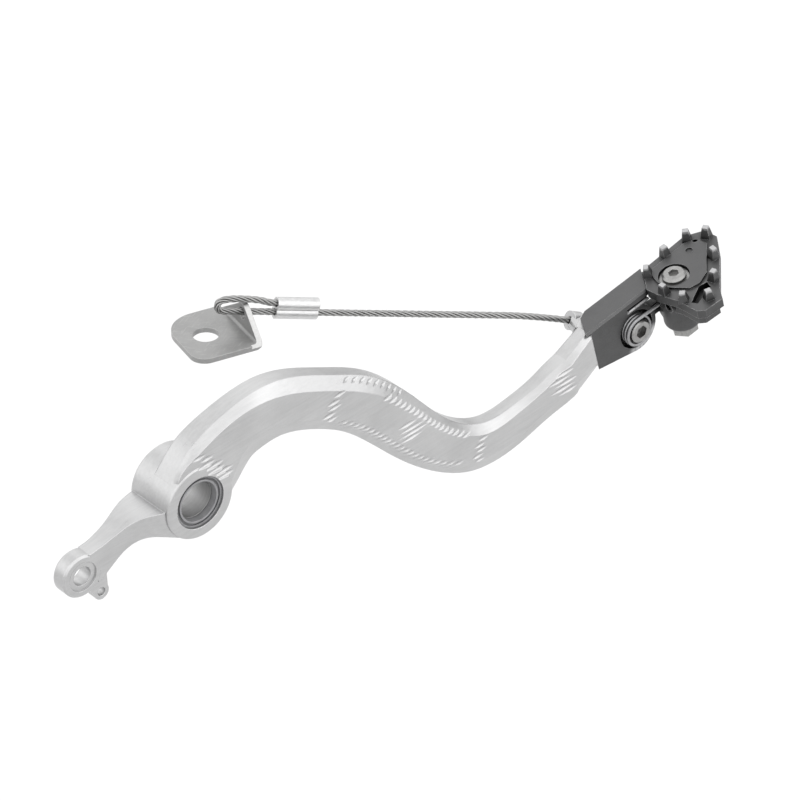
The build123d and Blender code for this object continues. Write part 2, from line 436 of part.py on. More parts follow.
toe_washer = TIP * (z_cyl(TOE_X, TOE_Y, 6.3, HEAD_SEAT, HEAD_SEAT + 1.2) - z_cyl(TOE_X, TOE_Y, BOLT_R, HEAD_SEAT - 1, HEAD_SEAT + 3))
toe_head = z_cyl(TOE_X, TOE_Y, 5.0, HEAD_SEAT + 1.2, HEAD_SEAT + 3.6)
toe_head = chamfer(toe_head.edges().filter_by(GeomType.CIRCLE).sort_by(Axis.Z)[-1], 0.9)
toe_screw = toe_head + z_cyl(TOE_X, TOE_Y, BOLT_R, BOSS_BOT - 4.8, HEAD_SEAT + 1.6)
toe_screw = TIP * (toe_screw - hex_z(TOE_X, TOE_Y, 4.0, HEAD_SEAT + 1.8, HEAD_SEAT + 6))
toe_nut = TIP * (hex_z(TOE_X, TOE_Y, 10.0, BOSS_BOT - 4.0, BOSS_BOT) - z_cyl(TOE_X, TOE_Y, BOLT_R, BOSS_BOT - 7, BOSS_BOT + 2))

# ---- safety cable: stop, run, ferrule and loop ----
RUN_FERRULE, FERRULE_L, RUN_EAR, RUN_END = 95.6, 17.6, 125.7, 137.6
SIDE = unit(cross((0, 0, 1), CABLE_RUN))
LIFT = unit(cross(CABLE_RUN, SIDE))
bend = add(EAR_AT, CABLE_OUT, 20.0)


def run(s, up=0.0):
    return add(add(bend, CABLE_RUN, s), LIFT, up)


OVER = 5.5                     # the returning strand above the one through the hole
ROUTE = [add(EAR_AT, CABLE_OUT, -6.2), bend, run(RUN_END), run(RUN_END, OVER), run(RUN_EAR - 4.5, OVER), run(RUN_FERRULE + FERRULE_L + 1.8, STRAND_GAP), run(RUN_FERRULE + 0.2, STRAND_GAP)]


def turn_radius(i):
    a, b, c = ROUTE[i - 1], ROUTE[i], ROUTE[i + 1]
    u, v = add(b, a, -1.0), add(c, b, -1.0)
    lu, lv = (math.sqrt(sum(q * q for q in w)) for w in (u, v))
    ang = math.acos(max(-1.0, min(1.0, sum(p * q for p, q in zip(u, v)) / lu / lv)))
    return 0.45 * min(lu, lv) / math.tan(ang / 2)


RADII = [turn_radius(i) for i in range(1, len(ROUTE) - 1)]
cable_path = FilletPolyline(*ROUTE, radius=RADII)
cable = sweep(Plane(origin=ROUTE[0], z_dir=CABLE_OUT) * Circle(CABLE_R), path=cable_path.wire())
cable_stop = along(EAR_AT, CABLE_OUT, 2.3, -6.2, -2.3) - along(EAR_AT, CABLE_OUT, CABLE_R, -9, 0)
f_low = run(RUN_FERRULE)
f_high = run(RUN_FERRULE, STRAND_GAP)
ferrule = along(f_low, CABLE_RUN, FERRULE_R, 0, FERRULE_L) + along(f_high, CABLE_RUN, FERRULE_R, 0, FERRULE_L)
ferrule = ferrule - along(f_low, CABLE_RUN, CABLE_R, -1, FERRULE_L + 1) - along(f_high, CABLE_RUN, CABLE_R, -1, FERRULE_L + 1)

# ---- bracket: folded sheet, a bolt flange and an ear for the loop ----
BR_X = unit((-CABLE_RUN[0], -CABLE_RUN[1], 0.0))
HOLE = add(run(RUN_EAR), (0, 0, 1), -0.6)
BR_YAW = 7.5                   # the bracket is turned a little on the cable
BRACKET = Location(Plane(origin=HOLE, x_dir=BR_X, z_dir=(0, 0, 1))) * Rotation(0, 0, BR_YAW)
BEND_IN = 1.2
BR_L, BR_W = 27.6, 16.7
BR_SHIFT = 2.3                 # the flange's middle, inboard of the ear's hole
BOLT_AT = (-16.0, 2.0)
h = SHEET / 2
q45 = math.sqrt(0.5)
zb0, zb1 = -EAR_H - h, -EAR_H + h
fold_face = make_face([
    Line((-h, 0, 8.0), (-h, 0, zb1 + BEND_IN)),
    ThreePointArc((-h, 0, zb1 + BEND_IN), (-h - BEND_IN + BEND_IN * q45, 0, zb1 + BEND_IN - BEND_IN * q45), (-h - BEND_IN, 0, zb1)),
    Line((-h - BEND_IN, 0, zb1), (-BR_L, 0, zb1)),
    Line((-BR_L, 0, zb1), (-BR_L, 0, zb0)),
    Line((-BR_L, 0, zb0), (-h - BEND_IN, 0, zb0)),
    ThreePointArc((-h - BEND_IN, 0, zb0), (-h - BEND_IN + (BEND_IN + SHEET) * q45, 0, zb1 + BEND_IN - (BEND_IN + SHEET) * q45), (h, 0, zb1 + BEND_IN)),
    Line((h, 0, zb1 + BEND_IN), (h, 0, 8.0)),
    Line((h, 0, 8.0), (-h, 0, 8.0)),
])
fold = Location((0, BR_SHIFT, 0)) * extrude(fold_face, amount=BR_W, dir=(0, 1, 0), both=True)
# the ear's sides run from the flange's edges to touch the round top
ear_pts = []
for side in (1, -1):
    half = BR_W + side * BR_SHIFT
    tangent = math.atan2(-EAR_H, half) + math.acos(EAR_TOP_R / math.hypot(half, EAR_H))
    edge = [(side * half, -EAR_H - 4), (side * half, -EAR_H), (side * EAR_TOP_R * math.cos(tangent), EAR_TOP_R * math.sin(tangent))]
    ear_pts += edge if side == 1 else edge[::-1]
ear_side = extrude(make_face(Polyline(*[(-6.0, y, z) for y, z in ear_pts], close=True)), amount=12, dir=(1, 0, 0)) + Rotation(0, 90, 0) * Cylinder(EAR_TOP_R, 12)
flange_plan = Location((-BR_L / 2 - 2.0, BR_SHIFT, -EAR_H)) * Box(BR_L - 4.0, 2 * BR_W, 8)
rear_corners = flange_plan.edges().filter_by(Axis.Z).sort_by(Axis.X)[:2].sort_by(Axis.Y)
flange_plan = fillet(rear_corners[1], 13.0)
rear_corners = flange_plan.edges().filter_by(Axis.Z).sort_by(Axis.Y)[:2].sort_by(Axis.X)
flange_plan = fillet(rear_corners[0], 6.5)
bracket = (fold & ear_side) + (fold & flange_plan)
bracket = bracket - Rotation(0, 90, 0) * Cylinder(EAR_HOLE_R, 12)
bracket = bracket - z_cyl(BOLT_AT[0], BOLT_AT[1], 5.2, -EAR_H - 5, -EAR_H + 5)
cable_bracket = BRACKET * bracket

NODES = {
    "pedal_arm": pedal, "pivot_bush": pivot_bush, "outer_seal_ring": outer_seal, "inner_seal_ring": inner_seal,
    "tip_base": tip_base, "tip_base_screws": tip_base_screws, "fold_bolt": fold_bolt,
    "fold_bush": fold_bush, "fold_nut": fold_nut, "fold_spring": fold_spring, "tip_carrier": tip_carrier,
    "toe_plate": toe_plate, "toe_screw": toe_screw, "toe_washer": toe_washer, "toe_nut": toe_nut,
    "safety_cable": cable, "cable_stop": cable_stop, "cable_ferrule": ferrule, "cable_bracket": cable_bracket,
}
for name, shape in NODES.items():
    n = len(shape.solids())
    print(name, n, round(sum(q.volume for q in shape.solids()), 1))
    save(shape if n != 1 else shape.solids()[0], name)
print("route", [tuple(round(c, 3) for c in p) for p in ROUTE], "radii", [round(r, 2) for r in RADII], "length", round(cable_path.wire().length, 2), "tube", round(math.pi * CABLE_R ** 2 * cable_path.wire().length, 1))
bolt_hole = (BRACKET * Location((BOLT_AT[0], BOLT_AT[1], -EAR_H))).position
print("bolt hole", bolt_hole, "hole", tuple(round(c, 3) for c in HOLE), "bracket x", tuple(round(c, 4) for c in BR_X), "ear", tuple(round(c, 3) for c in EAR_AT))
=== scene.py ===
import json
import math

import bpy
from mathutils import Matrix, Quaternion, Vector


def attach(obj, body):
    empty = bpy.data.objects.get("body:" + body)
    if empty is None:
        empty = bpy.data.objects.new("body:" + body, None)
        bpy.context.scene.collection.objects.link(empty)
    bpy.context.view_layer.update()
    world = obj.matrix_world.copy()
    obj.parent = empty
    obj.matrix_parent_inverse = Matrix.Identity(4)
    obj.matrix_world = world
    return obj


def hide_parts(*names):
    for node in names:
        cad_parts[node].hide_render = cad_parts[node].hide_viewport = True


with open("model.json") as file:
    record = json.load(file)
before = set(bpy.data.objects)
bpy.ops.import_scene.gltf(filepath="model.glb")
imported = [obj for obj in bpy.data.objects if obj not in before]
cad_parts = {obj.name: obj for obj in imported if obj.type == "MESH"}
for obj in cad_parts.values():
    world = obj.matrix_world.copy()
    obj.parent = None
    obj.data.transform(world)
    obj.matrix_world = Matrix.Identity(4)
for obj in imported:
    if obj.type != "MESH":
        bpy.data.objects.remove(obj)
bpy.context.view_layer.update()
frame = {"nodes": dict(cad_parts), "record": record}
scene = bpy.context.scene
node = frame["nodes"]


# ---------------------------------------------------------------- camera
cam_data = bpy.data.cameras.new("camera")
cam_data.lens = 200.0
cam_data.sensor_width = 36.0
cam_data.clip_start, cam_data.clip_end = 0.05, 100.0
cam = bpy.data.objects.new("camera", cam_data)
scene.collection.objects.link(cam)
eye = Vector((-0.83284, -1.10489, 0.93354))
aim = Vector((0.09738, -0.01190, 0.00504))
cam.location = eye
cam.rotation_mode = "QUATERNION"
cam.rotation_quaternion = (aim - eye).to_track_quat("-Z", "Y")
scene.camera = cam


# ---------------------------------------------------------------- node helpers
def start(name):
    """A new material with a metal-ready shader: returns it, its tree and its Principled shader."""
    mat = bpy.data.materials.new(name)
    mat.use_nodes = True
    tree = mat.node_tree
    tree.nodes.clear()
    out = tree.nodes.new("ShaderNodeOutputMaterial")
    bsdf = tree.nodes.new("ShaderNodeBsdfPrincipled")
    tree.links.new(bsdf.outputs["BSDF"], out.inputs["Surface"])
    return mat, tree, bsdf


def put(tree, kind, inputs=None, **props):
    """Adds a node, sets its properties, and links or sets its inputs by name or number."""
    n = tree.nodes.new(kind)
    for k, v in props.items():
        setattr(n, k, v)
    for k, v in (inputs or {}).items():
        if isinstance(v, bpy.types.NodeSocket):
            tree.links.new(v, n.inputs[k])
        else:
            n.inputs[k].default_value = v
    return n


def place(tree, scale=(1, 1, 1), turn=(0, 0, 0)):
    """Object coordinates, which are metres in the shared frame, turned and then stretched."""
    tc = put(tree, "ShaderNodeTexCoord")
    m = put(tree, "ShaderNodeMapping", {"Vector": tc.outputs["Object"], "Rotation": turn})
    if tuple(scale) == (1, 1, 1):
        return m.outputs["Vector"]
    return put(tree, "ShaderNodeVectorMath", {0: m.outputs["Vector"], 1: scale}, operation="MULTIPLY").outputs["Vector"]


def noise(tree, vec, scale, detail=3.0, rough=0.5, distort=0.0):
    return put(tree, "ShaderNodeTexNoise", {"Vector": vec, "Scale": scale, "Detail": detail, "Roughness": rough, "Distortion": distort}).outputs["Fac"]


def remap(tree, value, a, b, c, d, smooth=False):
    n = put(tree, "ShaderNodeMapRange", {"Value": value, "From Min": a, "From Max": b, "To Min": c, "To Max": d})
    if smooth:
        n.interpolation_type = "SMOOTHSTEP"
    return n.outputs["Result"]


def calc(tree, op, a, b=None):
    n = put(tree, "ShaderNodeMath", {0: a} if b is None else {0: a, 1: b}, operation=op)
    return n.outputs[0]


def grey(tree, value, tint=(1.0, 1.0, 1.0)):
    """A brightness as a colour with a slight tint."""
    n = put(tree, "ShaderNodeCombineColor", {"Red": calc(tree, "MULTIPLY", value, tint[0]), "Green": calc(tree, "MULTIPLY", value, tint[1]), "Blue": calc(tree, "MULTIPLY", value, tint[2])})
    return n.outputs["Color"]


def blend(tree, fac, a, b):
    """a where fac is 0 and b where it is 1, for plain values."""
    return put(tree, "ShaderNodeMix", {"Factor": fac, "A": a, "B": b}, data_type="FLOAT").outputs["Result"]


def soft_edges(tree, radius, samples=6):
    """The rounded normal of an edge broken by that radius, and how much it turns there."""
    bev = put(tree, "ShaderNodeBevel", {"Radius": radius}, samples=samples)
    geo = put(tree, "ShaderNodeNewGeometry")
    dot = put(tree, "ShaderNodeVectorMath", {0: bev.outputs["Normal"], 1: geo.outputs["Normal"]}, operation="DOT_PRODUCT").outputs["Value"]
    return bev.outputs["Normal"], calc(tree, "SUBTRACT", 1.0, dot)


def hollow(tree, distance, samples=6):
    """0 deep in corners and 1 on open faces."""
    return put(tree, "ShaderNodeAmbientOcclusion", {"Distance": distance}, samples=samples).outputs["AO"]


def bump(tree, height, distance, strength=1.0, normal=None):
    n = put(tree, "ShaderNodeBump", {"Height": height, "Distance": distance, "Strength": strength})
    if normal is not None:
        tree.links.new(normal, n.inputs["Normal"])
    return n.outputs["Normal"]


def wire(tree, bsdf, **sockets):
    for k, v in sockets.items():
        name = {"color": "Base Color", "rough": "Roughness", "normal": "Normal", "metal": "Metallic"}[k]
        if isinstance(v, bpy.types.NodeSocket):
            tree.links.new(v, bsdf.inputs[name])
        else:
            bsdf.inputs[name].default_value = v


# ---------------------------------------------------------------- materials
def arm_alloy():
    """Machined aluminium, bead blasted: fine grain, cloudy patches, faint cutter lines, brighter broken edges with a
    painted highlight along shallow creases, and painted shade in hollows.
    """
    mat, t, b = start("arm_alloy_blasted")
    vec = place(t)
    along_cut = place(t, (60, 900, 900), (0, math.radians(7), 0))
    cloud = noise(t, vec, 55, 4, 0.55)
    grain = noise(t, vec, 2600, 2, 0.6)
    lines = noise(t, along_cut, 1.0, 2, 0.5)
    ao = hollow(t, 0.0030)
    soft, turn = soft_edges(t, 0.00045)
    # bright_marks: rubbed broken edges, plus a painted highlight along even shallow creases between faces
    bright_marks = calc(t, "MULTIPLY", remap(t, turn, 0.004, 0.07, 0, 1, True), remap(t, ao, 0.55, 0.9, 0, 1, True))
    tone = calc(t, "ADD", remap(t, cloud, 0.3, 0.7, 0.455, 0.515), remap(t, lines, 0.3, 0.7, -0.022, 0.022))
    tone = calc(t, "ADD", tone, remap(t, grain, 0.25, 0.75, -0.02, 0.02))
    # painted shade: darker in hollows and corners
    tone = calc(t, "MULTIPLY", tone, remap(t, ao, 0.1, 0.8, 0.6, 1.0))
    tone = blend(t, calc(t, "MULTIPLY", bright_marks, 0.45), tone, 0.66)
    rough = calc(t, "ADD", remap(t, cloud, 0.3, 0.7, 0.29, 0.37), remap(t, lines, 0.3, 0.7, -0.03, 0.03))
    rough = blend(t, bright_marks, rough, 0.24)
    n = bump(t, grain, 0.00004, 0.35, soft)
    n = bump(t, lines, 0.00005, 0.25, n)
    wire(t, b, color=grey(t, tone, (1.0, 1.0, 1.004)), rough=rough, normal=n, metal=1.0)
    return mat


def dark_alloy():
    """Dark grey anodised aluminium: matt, slightly patchy, rubbed bright on edges and tooth tips, with painted shade in
    corners and pockets, painted light on faces that look up, and painted highlights on the knuckle and the top edge of
    the outboard cheek.
    """
    mat, t, b = start("dark_alloy_anodised")
    vec = place(t)
    cloud = noise(t, vec, 140, 4, 0.6)
    grain = noise(t, vec, 3200, 2, 0.6)
    chips = noise(t, vec, 520, 3, 0.65)
    ao = hollow(t, 0.003)
    deep = hollow(t, 0.009, 8)
    soft, turn = soft_edges(t, 0.00035)
    edge = calc(t, "MULTIPLY", remap(t, turn, 0.02, 0.2, 0, 1, True), remap(t, ao, 0.5, 0.85, 0, 1, True))
    edge = calc(t, "MULTIPLY", edge, remap(t, chips, 0.36, 0.6, 0.25, 1.0, True))
    # height above the plate in the tip's own attitude, for the rubbed tips of the teeth
    geo = put(t, "ShaderNodeTexCoord")
    high = put(t, "ShaderNodeVectorMath", {0: geo.outputs["Object"], 1: (-0.258819, 0.0, 0.965926)}, operation="DOT_PRODUCT").outputs["Value"]
    level = calc(t, "SUBTRACT", high, -0.258819 * 0.2260 + 0.965926 * -0.0166)
    tips = remap(t, calc(t, "ADD", level, remap(t, chips, 0.3, 0.7, -0.0005, 0.0005)), 0.0187, 0.0201, 0, 0.75, True)
    arm_to = put(t, "ShaderNodeVectorMath", {0: geo.outputs["Object"], 1: (0.2260, 0.0, -0.0166)}, operation="SUBTRACT").outputs["Vector"]
    flat = put(t, "ShaderNodeVectorMath", {0: arm_to, 1: (1.0, 0.0, 1.0)}, operation="MULTIPLY").outputs["Vector"]
    away = put(t, "ShaderNodeVectorMath", {0: flat}, operation="LENGTH").outputs["Value"]
    lower = put(t, "ShaderNodeVectorMath", {0: put(t, "ShaderNodeVectorMath", {0: flat}, operation="NORMALIZE").outputs["Vector"], 1: (0.55, 0.0, -0.835)}, operation="DOT_PRODUCT").outputs["Value"]
    out_y = put(t, "ShaderNodeSeparateXYZ", {"Vector": geo.outputs["Object"]}).outputs["Y"]
    # painted highlight: a light crescent on the lower outboard side of the knuckle round the fold bolt
    knuckle_highlight = calc(t, "MULTIPLY", remap(t, away, 0.0086, 0.0094, 0, 1, True), remap(t, away, 0.0108, 0.0114, 1, 0, True))
    knuckle_highlight = calc(t, "MULTIPLY", knuckle_highlight, calc(t, "MULTIPLY", remap(t, lower, 0.55, 0.85, 0, 1, True), remap(t, out_y, -0.0077, -0.0068, 1, 0, True)))
    knuckle_highlight = calc(t, "MULTIPLY", knuckle_highlight, remap(t, chips, 0.30, 0.55, 0.35, 0.85, True))
    # the top edge of the fork's outboard cheek is painted lighter, partly as rubbing and partly as a painted highlight
    along = put(t, "ShaderNodeVectorMath", {0: arm_to, 1: (0.965926, 0.0, 0.258819)}, operation="DOT_PRODUCT").outputs["Value"]
    cheek_rub_and_highlight = calc(t, "MULTIPLY", remap(t, level, 0.0094, 0.0099, 0, 1, True), remap(t, level, 0.0108, 0.0112, 1, 0, True))
    cheek_rub_and_highlight = calc(t, "MULTIPLY", cheek_rub_and_highlight, calc(t, "MULTIPLY", remap(t, along, -0.0030, -0.0022, 0, 1, True), remap(t, along, 0.0096, 0.0102, 1, 0, True)))
    cheek_rub_and_highlight = calc(t, "MULTIPLY", cheek_rub_and_highlight, calc(t, "MULTIPLY", remap(t, out_y, -0.0074, -0.0068, 1, 0, True), remap(t, chips, 0.30, 0.55, 0.4, 0.8, True)))
    # bright_marks here gather edge wear, rubbed tooth tips, and the painted highlights on the knuckle and on the
    # cheek's top edge
    bright_marks = calc(t, "MAXIMUM", calc(t, "MULTIPLY", edge, 0.8), calc(t, "MAXIMUM", calc(t, "MAXIMUM", tips, cheek_rub_and_highlight), knuckle_highlight))
    # painted light: faces that look up are painted a little lighter than the sides
    way = put(t, "ShaderNodeSeparateXYZ", {"Vector": put(t, "ShaderNodeNewGeometry").outputs["Normal"]}).outputs["Z"]
    tone = calc(t, "ADD", remap(t, cloud, 0.3, 0.7, 0.072, 0.094), remap(t, grain, 0.25, 0.75, -0.010, 0.010))
    tone = calc(t, "ADD", tone, remap(t, way, 0.3, 0.9, 0.0, 0.030, True))
    # painted shade: darker in corners and creases
    tone = calc(t, "MULTIPLY", tone, remap(t, ao, 0.3, 0.95, 0.55, 1.0))
    # painted shade: near black deep in pockets and in the gaps between parts
    tone = calc(t, "MULTIPLY", tone, remap(t, deep, 0.15, 0.75, 0.12, 1.0, True))
    tone = blend(t, bright_marks, tone, 0.52)
    rough = blend(t, bright_marks, remap(t, cloud, 0.3, 0.7, 0.40, 0.52), 0.30)
    n = bump(t, grain, 0.00004, 0.4, soft)
    wire(t, b, color=grey(t, tone, (1.0, 1.0, 1.01)), rough=rough, normal=n, metal=0.85)
    return mat


def fastener_steel():
    """Zinc-plated steel: bright, lightly spangled, with turning rings too fine to count and painted shade in its
    recesses.
    """
    mat, t, b = start("fastener_zinc")
    vec = place(t)
    cells = put(t, "ShaderNodeTexVoronoi", {"Vector": vec, "Scale": 900.0}).outputs["Distance"]
    cloud = noise(t, vec, 380, 3, 0.6)
    grain = noise(t, vec, 4200, 2, 0.5)
    ao = hollow(t, 0.002)
    soft, turn = soft_edges(t, 0.0003)
    bright_marks = calc(t, "MULTIPLY", remap(t, turn, 0.02, 0.2, 0, 1, True), remap(t, ao, 0.5, 0.85, 0, 1, True))
    tone = calc(t, "ADD", remap(t, cloud, 0.3, 0.7, 0.25, 0.32), remap(t, cells, 0.0, 0.7, -0.03, 0.03))
    # painted shade: darker in recesses and corners
    tone = calc(t, "MULTIPLY", tone, remap(t, ao, 0.2, 0.9, 0.8, 1.0))
    tone = blend(t, calc(t, "MULTIPLY", bright_marks, 0.6), tone, 0.58)
    rough = calc(t, "ADD", remap(t, cloud, 0.3, 0.7, 0.26, 0.38), remap(t, cells, 0.0, 0.7, -0.04, 0.04))
    n = bump(t, grain, 0.00003, 0.3, soft)
    wire(t, b, color=grey(t, tone, (1.0, 0.995, 0.98)), rough=rough, normal=n, metal=1.0)
    return mat


def bearing_steel():
    """Sleeve lining: dull grey sintered face with fine turning lines round the pivot."""
    mat, t, b = start("bearing_lining")
    vec = place(t)
    rings = noise(t, place(t, (40, 2400, 40)), 1.0, 2, 0.6)
    pores = noise(t, vec, 2200, 3, 0.7)
    ao = hollow(t, 0.006)
    soft, turn = soft_edges(t, 0.0003)
    tone = calc(t, "ADD", remap(t, rings, 0.3, 0.7, 0.38, 0.47), remap(t, pores, 0.3, 0.7, -0.03, 0.03))
    # painted shade: darker in the hollows of the bore and its corners
    tone = calc(t, "MULTIPLY", tone, remap(t, ao, 0.2, 0.9, 0.45, 1.0))
    tone = blend(t, remap(t, turn, 0.03, 0.2, 0, 0.5, True), tone, 0.45)
    n = bump(t, rings, 0.00005, 0.4, soft)
    n = bump(t, pores, 0.00004, 0.3, n)
    wire(t, b, color=grey(t, tone), rough=remap(t, pores, 0.3, 0.7, 0.36, 0.5), normal=n, metal=0.9)
    return mat


def spring_steel():
    """Bright drawn spring wire: fine lines, an oily film, and painted shade between its coils."""
    mat, t, b = start("spring_bright_wire")
    vec = place(t)
    cloud = noise(t, vec, 600, 3, 0.6)
    grain = noise(t, vec, 5000, 2, 0.5)
    ao = hollow(t, 0.0015)
    tone = remap(t, cloud, 0.3, 0.7, 0.25, 0.34)
    # painted shade: darker between the coils
    tone = calc(t, "MULTIPLY", tone, remap(t, ao, 0.2, 0.9, 0.55, 1.0))
    n = bump(t, grain, 0.00003, 0.35)
    wire(t, b, color=grey(t, tone, (1.0, 1.0, 1.02)), rough=remap(t, cloud, 0.3, 0.7, 0.3, 0.42), normal=n, metal=0.9)
    return mat


def seal_rubber():
    """Grey moulded rubber: matt, with random dusty patches, painted shade in its groove, and a fine moulded grain."""
    mat, t, b = start("seal_rubber_grey")
    vec = place(t)
    dust = noise(t, vec, 300, 4, 0.6)
    grain = noise(t, vec, 3600, 2, 0.6)
    ao = hollow(t, 0.002)
    soft, turn = soft_edges(t, 0.00035)
    tone = calc(t, "ADD", remap(t, dust, 0.35, 0.7, 0.19, 0.25), remap(t, turn, 0.03, 0.25, 0.0, 0.16, True))
    # painted shade: darker in the groove and corners
    tone = calc(t, "MULTIPLY", tone, remap(t, ao, 0.2, 0.9, 0.6, 1.0))
    n = bump(t, grain, 0.00005, 0.5, soft)
    wire(t, b, color=grey(t, tone, (1.0, 1.0, 1.03)), rough=remap(t, dust, 0.3, 0.7, 0.5, 0.68), normal=n, metal=0.0)
    return mat


def cable_steel():
    """Bright stranded wire: each strand shows the fine twist of its own wires, with painted shade between strands."""
    mat, t, b = start("cable_bright_wire")
    vec = place(t)
    twist = put(t, "ShaderNodeTexWave", {"Vector": place(t, (1, 1, 1), (0, math.radians(10), math.radians(-52))), "Scale": 520.0, "Distortion": 1.2, "Detail": 1.0}, wave_type="BANDS", bands_direction="X").outputs["Fac"]
    cloud = noise(t, vec, 350, 3, 0.6)
    ao = hollow(t, 0.0009)
    tone = calc(t, "ADD", remap(t, cloud, 0.3, 0.7, 0.31, 0.37), remap(t, twist, 0, 1, -0.03, 0.03))
    # painted shade: darker between the strands
    tone = calc(t, "MULTIPLY", tone, remap(t, ao, 0.25, 0.9, 0.62, 1.0))
    n = bump(t, twist, 0.00006, 0.4)
    wire(t, b, color=grey(t, tone, (1.0, 0.997, 0.985)), rough=remap(t, cloud, 0.3, 0.7, 0.28, 0.4), normal=n, metal=1.0)
    return mat


def ferrule_alloy():
    """Pressed aluminium sleeve: satin, with fine draw lines along it and small dents."""
    mat, t, b = start("ferrule_pressed")
    turn_z = math.atan2(-0.3387, 0.9409)
    draw = noise(t, place(t, (120, 2600, 2600), (0, 0, -turn_z)), 1.0, 2, 0.5)
    dents = noise(t, place(t), 700, 2, 0.5)
    ao = hollow(t, 0.0016)
    soft, turn = soft_edges(t, 0.0003)
    bright_marks = calc(t, "MULTIPLY", remap(t, turn, 0.02, 0.2, 0, 1, True), remap(t, ao, 0.5, 0.85, 0, 1, True))
    tone = calc(t, "ADD", remap(t, draw, 0.3, 0.7, 0.54, 0.64), remap(t, dents, 0.3, 0.7, -0.03, 0.03))
    # painted shade: darker in corners and crevices
    tone = calc(t, "MULTIPLY", tone, remap(t, ao, 0.2, 0.9, 0.5, 1.0))
    tone = blend(t, calc(t, "MULTIPLY", bright_marks, 0.6), tone, 0.78)
    n = bump(t, dents, 0.00012, 0.35, soft)
    n = bump(t, draw, 0.00003, 0.3, n)
    wire(t, b, color=grey(t, tone), rough=remap(t, draw, 0.3, 0.7, 0.3, 0.42), normal=n, metal=1.0)
    return mat


def bracket_steel():
    """Tumbled sheet steel: satin with many small random scratches, brighter broken edges, cloudy plating, bare sheared
    edges that are lightened only where they tilt up, which is painted light, and painted shade in corners.
    """
    mat, t, b = start("bracket_tumbled")
    vec = place(t)
    cloud = noise(t, vec, 120, 4, 0.6)
    scratch_a = noise(t, place(t, (70, 1500, 1500), (0, 0.2, 0.7)), 1.0, 2, 0.5)
    scratch_b = noise(t, place(t, (70, 1500, 1500), (0.3, 0, -0.5)), 1.0, 2, 0.5)
    marks = calc(t, "MAXIMUM", remap(t, scratch_a, 0.58, 0.74, 0, 1), remap(t, scratch_b, 0.58, 0.74, 0, 1))
    ao = hollow(t, 0.003)
    soft, turn = soft_edges(t, 0.0005)
    bright_marks = calc(t, "MULTIPLY", remap(t, turn, 0.015, 0.18, 0, 1, True), remap(t, ao, 0.5, 0.85, 0, 1, True))
    tone = calc(t, "ADD", remap(t, cloud, 0.3, 0.7, 0.268, 0.31), remap(t, marks, 0, 1, -0.01, 0.05))
    # the ear's sheared edges are bare steel, lightened only where they tilt up (neither along the fold's normal nor
    # straight up): bare edge colour with a painted light on top
    facing = put(t, "ShaderNodeNewGeometry").outputs["Normal"]
    along = calc(t, "ABSOLUTE", put(t, "ShaderNodeVectorMath", {0: facing, 1: (0.977, -0.213, 0.0)}, operation="DOT_PRODUCT").outputs["Value"])
    rise = put(t, "ShaderNodeSeparateXYZ", {"Vector": facing}).outputs["Z"]
    sheared_and_lit = calc(t, "MULTIPLY", remap(t, along, 0.1, 0.4, 1, 0, True), calc(t, "MULTIPLY", remap(t, rise, 0.1, 0.25, 0, 1, True), remap(t, rise, 0.93, 0.985, 1, 0, True)))
    tone = blend(t, calc(t, "MULTIPLY", sheared_and_lit, remap(t, scratch_a, 0.3, 0.7, 0.75, 1.0)), tone, 0.56)
    # painted shade: darker in bends and corners
    tone = calc(t, "MULTIPLY", tone, remap(t, ao, 0.2, 0.9, 0.75, 1.0))
    tone = blend(t, calc(t, "MULTIPLY", bright_marks, 0.6), tone, 0.6)
    rough = calc(t, "ADD", remap(t, cloud, 0.3, 0.7, 0.30, 0.40), remap(t, marks, 0, 1, 0.0, 0.08))
    n = bump(t, marks, 0.00003, 0.4, soft)
    wire(t, b, color=grey(t, tone, (1.0, 0.998, 0.99)), rough=rough, normal=n, metal=0.45)
    return mat


made = {f.__name__: f() for f in (arm_alloy, dark_alloy, fastener_steel, bearing_steel, spring_steel, seal_rubber, cable_steel, ferrule_alloy, bracket_steel)}
slot_of = {p["node"]: p["material_slot"] for p in frame["record"]["subparts"]}
for name, obj in node.items():
    mats = obj.data.materials
    if len(mats) == 0:
        mats.append(made[slot_of[name]])
    for i in range(len(mats)):
        mats[i] = made[slot_of[name]]


# ---------------------------------------------------------------- safety cable: seven strands along one spline
MM = 0.001
route = [
    (212.356, 7.284, -15.304), (188.767, 12.001, -4.925), (164.770, 20.640, 1.075), (67.778, 55.557, 25.322),
    (62.740, 57.371, 26.581), (63.925, 56.944, 31.935), (78.946, 51.537, 28.180), (84.215, 49.640, 24.911),
    (101.800, 43.309, 20.515),
]
line_data = bpy.data.curves.new("cable_line", "CURVE")
line_data.dimensions = "3D"
line_data.resolution_u = 48
spl = line_data.splines.new("NURBS")
spl.points.add(len(route) - 1)
for p, (x, y, z) in zip(spl.points, route):
    p.co = (x * MM, y * MM, z * MM, 1.0)
spl.order_u = 3
spl.use_endpoint_u = True
line = bpy.data.objects.new("cable_line", line_data)
scene.collection.objects.link(line)
bpy.context.view_layer.update()
read = bpy.data.meshes.new_from_object(line.evaluated_get(bpy.context.evaluated_depsgraph_get()))
path = [v.co.copy() for v in read.vertices]
bpy.data.meshes.remove(read)
bpy.data.objects.remove(line)
path = [p for i, p in enumerate(path) if i == 0 or (p - path[i - 1]).length > 1e-6]

CABLE_R = 0.0014
LAY = 0.0185                   # one turn of a strand round the cable
STRAND_R = CABLE_R / 3
SIDES = 8


